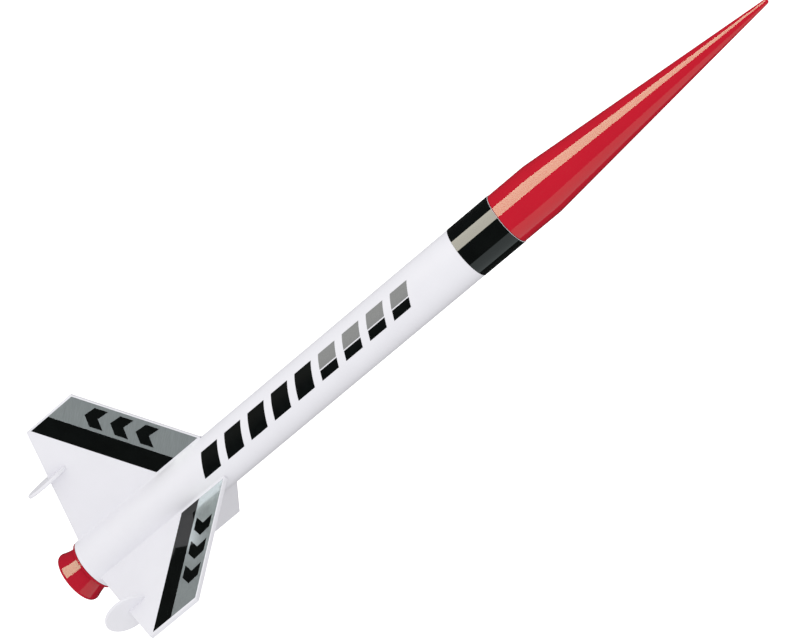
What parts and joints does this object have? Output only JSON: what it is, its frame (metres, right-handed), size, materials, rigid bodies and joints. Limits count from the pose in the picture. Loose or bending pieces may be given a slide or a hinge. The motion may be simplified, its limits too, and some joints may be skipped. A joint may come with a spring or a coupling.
{
  "type": "model rocket",
  "caption": "Slender paper-tube model rocket with swept fins, oval winglets, tapered pull-off nose, tail bell and a hook-held solid motor.",
  "frame": {"origin": "on the rocket's long axis, level with the bottom of the tail bell, where the rocket stands", "axes": "+Z along the axis towards the nose; -Y is the front, with one fin towards -X and the lug and engine hook on the +Y side"},
  "size_m": [0.0958, 0.1106, 0.3936],
  "materials": {
    "white_paint": "sealed and sprayed gloss white over card or balsa",
    "red_plastic": "moulded gloss red",
    "white_plastic": "moulded satin white",
    "kraft_card": "bare wound card",
    "spring_steel": "bare spring strip",
    "band_film": "thin amber film",
    "motor_paper": "tightly wound unprinted kraft paper",
    "clay": "pressed grey clay",
    "propellant": "pressed black powder",
    "delay_mix": "pressed grey delay mix",
    "wadding_tissue": "crumpled flame-proofed tissue",
    "parachute_film": "thin folded plastic film"
  },
  "bodies": {
    "airframe": {"body_tube": "white_paint", "fin_left": "white_paint", "winglet_left": "white_paint", "fin_front": "white_paint", "winglet_front": "white_paint", "fin_back": "white_paint", "winglet_back": "white_paint", "launch_lug": "white_paint", "tail_bell": "red_plastic", "motor_mount_tube": "kraft_card", "centring_ring_aft": "kraft_card", "centring_ring_fore": "kraft_card", "engine_block": "kraft_card", "hook_band": "band_film", "recovery_anchor": "kraft_card"},
    "nose": {"nose_cone": "red_plastic", "nose_base_insert": "white_plastic"},
    "parachute": {"parachute_pack": "parachute_film"},
    "wadding": {"recovery_wadding": "wadding_tissue"},
    "motor": {"motor_casing": "motor_paper", "motor_nozzle": "clay", "propellant_grain": "propellant", "delay_grain": "delay_mix", "ejection_charge": "propellant", "motor_cap": "clay"},
    "hook": {"engine_hook": "spring_steel"}
  },
  "joints": [
    {"name": "nose_slide", "type": "slide", "parent": "airframe", "child": "nose", "axis": [0, 0, 1], "range_m": [0, 0.12]},
    {"name": "parachute_slide", "type": "slide", "parent": "airframe", "child": "parachute", "axis": [0, 0, 1], "range_m": [0, 0.12]},
    {"name": "wadding_slide", "type": "slide", "parent": "airframe", "child": "wadding", "axis": [0, 0, 1], "range_m": [0, 0.12]},
    {"name": "motor_slide", "type": "slide", "parent": "airframe", "child": "motor", "axis": [0, 0, -1], "range_m": [0, 0.09], "deforming": ["engine_hook"]},
    {"name": "hook_flex", "type": "hinge", "parent": "airframe", "child": "hook", "pos_m": [0, 0.0099, 0.08155], "axis": [1, 0, 0], "range_deg": [0, 1], "stiffness_Nm_per_rad": 0.6}
  ],
  "couplings": [
    {"joint": "parachute_slide", "follows": "nose_slide", "ratio": 1},
    {"joint": "wadding_slide", "follows": "nose_slide", "ratio": 0.8}
  ]
}
